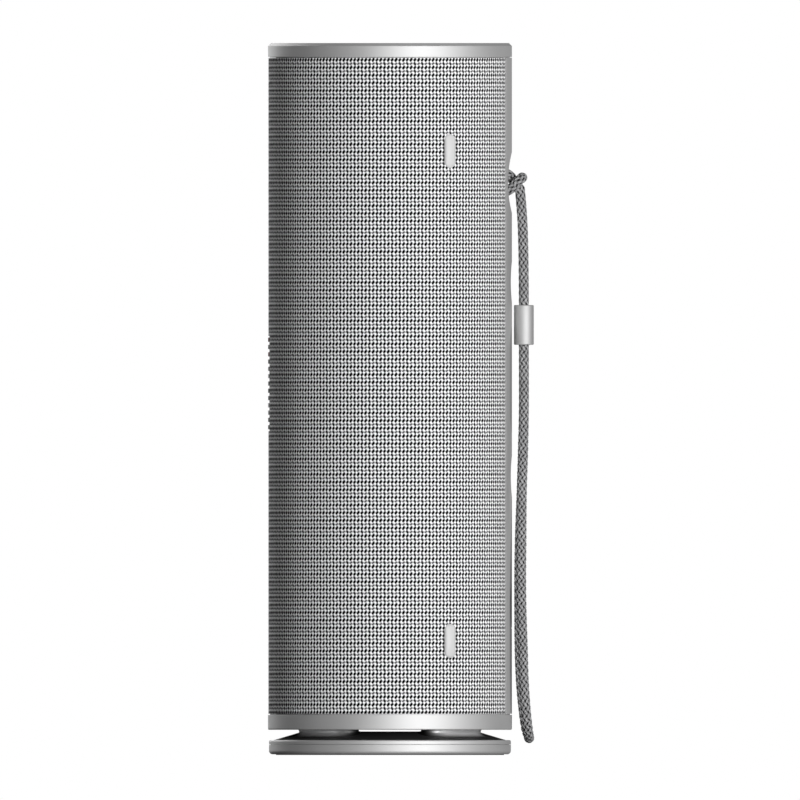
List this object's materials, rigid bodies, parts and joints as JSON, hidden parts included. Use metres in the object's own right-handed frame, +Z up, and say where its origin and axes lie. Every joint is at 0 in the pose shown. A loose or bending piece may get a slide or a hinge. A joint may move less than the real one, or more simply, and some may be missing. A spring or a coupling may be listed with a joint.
{
  "type": "smart speaker",
  "caption": "Upright cylindrical portable speaker wrapped in woven fabric, on a windowed neck and base disc, with a button spine and a braided wrist strap.",
  "frame": {"origin": "bottom centre of the base, on the surface the speaker stands on", "axes": "+Z up along the body; +X towards the spine with the buttons and the strap; -X towards the badge"},
  "size_m": [0.0804, 0.0736, 0.2148],
  "materials": {
    "grip_rubber": "matt",
    "shell_grey": "satin moulded",
    "button_grey": "satin moulded",
    "cover_rubber": "soft matt silicone",
    "black_plastic": "fine texture",
    "neck_plastic": "satin",
    "surround_rubber": "satin",
    "radiator_metal": "fine brushed",
    "steel": "brushed",
    "knit_fabric": "open knit",
    "circuit_board": "solder mask",
    "chip_shield": "matt tin",
    "pad_rubber": "matt silicone",
    "badge_grey": "satin",
    "badge_light": "satin",
    "badge_red": "semi-gloss",
    "light_diffuser": "frosted diffuser",
    "cone_paper": "pressed fibre",
    "copper": "enamelled wire",
    "dome_metal": "anodised",
    "battery_wrap": "shrink wrap",
    "strap_braid": "round braid",
    "sleeve_metal": "satin"
  },
  "bodies": {
    "housing": {"base_grip": "grip_rubber", "base_foot": "shell_grey", "base_disc": "shell_grey", "deflector": "black_plastic", "neck_pillars": "neck_plastic", "base_screws": "steel", "lower_ring": "shell_grey", "bottom_frame": "black_plastic", "bottom_retainer": "black_plastic", "front_shell": "black_plastic", "rear_shell": "black_plastic", "shell_screws": "steel", "grille_tube": "black_plastic", "fabric_sleeve": "knit_fabric", "spine": "shell_grey", "strap_bar": "steel", "keypad": "surround_rubber", "button_board": "circuit_board", "tact_switches": "steel", "usb_socket": "steel", "port_board": "circuit_board", "upper_pad": "pad_rubber", "lower_pad": "pad_rubber", "badge_plate": "badge_grey", "badge_bars": "badge_light", "badge_accents": "badge_red", "top_ring": "shell_grey", "light_ring": "light_diffuser", "light_board": "circuit_board", "microphones": "steel", "top_frame": "black_plastic", "woofer_basket": "black_plastic", "woofer_magnet": "steel", "woofer_surround": "surround_rubber", "woofer_screws": "steel", "tweeter_frame": "black_plastic", "tweeter_magnet": "steel", "battery_holder": "black_plastic", "battery_cell_left": "battery_wrap", "battery_cell_right": "battery_wrap", "main_board": "circuit_board", "board_chips": "chip_shield"},
    "bottom_radiator": {"bottom_surround": "surround_rubber", "bottom_plate": "radiator_metal", "bottom_weight": "steel"},
    "top_radiator": {"top_surround": "surround_rubber", "top_plate": "radiator_metal", "top_weight": "steel"},
    "woofer_motor": {"woofer_cone": "cone_paper", "dust_cap": "cone_paper", "voice_coil": "copper"},
    "tweeter_diaphragm": {"tweeter_dome": "dome_metal"},
    "volume_up": {"volume_up_button": "button_grey"},
    "volume_down": {"volume_down_button": "button_grey"},
    "action": {"action_button": "button_grey"},
    "port_flap": {"port_cover": "cover_rubber"},
    "strap": {"strap_cord": "strap_braid", "strap_knot": "strap_braid"},
    "sleeve": {"strap_sleeve": "sleeve_metal"}
  },
  "joints": [
    {"name": "volume_up_press", "type": "slide", "parent": "housing", "child": "volume_up", "axis": [-1, 0, 0], "range_m": [0, 0.0006], "stiffness_N_per_m": 600},
    {"name": "volume_down_press", "type": "slide", "parent": "housing", "child": "volume_down", "axis": [-1, 0, 0], "range_m": [0, 0.0006], "stiffness_N_per_m": 600},
    {"name": "action_press", "type": "slide", "parent": "housing", "child": "action", "axis": [-1, 0, 0], "range_m": [0, 0.0006], "stiffness_N_per_m": 600},
    {"name": "port_cover_hinge", "type": "hinge", "parent": "housing", "child": "port_flap", "pos_m": [0.03635, 0, 0.0387], "axis": [0, 1, 0], "range_deg": [0, 100]},
    {"name": "top_radiator_slide", "type": "slide", "parent": "housing", "child": "top_radiator", "axis": [0, 0, 1], "range_m": [-0.0007, 0.0007], "stiffness_N_per_m": 3000},
    {"name": "bottom_radiator_slide", "type": "slide", "parent": "housing", "child": "bottom_radiator", "axis": [0, 0, 1], "range_m": [-0.0007, 0.0007], "stiffness_N_per_m": 3000},
    {"name": "woofer_slide", "type": "slide", "parent": "housing", "child": "woofer_motor", "axis": [-1, 0, 0], "range_m": [-0.001, 0.001], "stiffness_N_per_m": 2000},
    {"name": "tweeter_slide", "type": "slide", "parent": "housing", "child": "tweeter_diaphragm", "axis": [-1, 0, 0], "range_m": [-0.0003, 0.0003], "stiffness_N_per_m": 1000},
    {"name": "strap_swing", "type": "hinge", "parent": "housing", "child": "strap", "pos_m": [0.034, 0, 0.1727], "axis": [0, -1, 0], "range_deg": [0, 95]},
    {"name": "sleeve_slide", "type": "slide", "parent": "strap", "child": "sleeve", "axis": [0, 0, 1], "range_m": [-0.018, 0.012]}
  ]
}
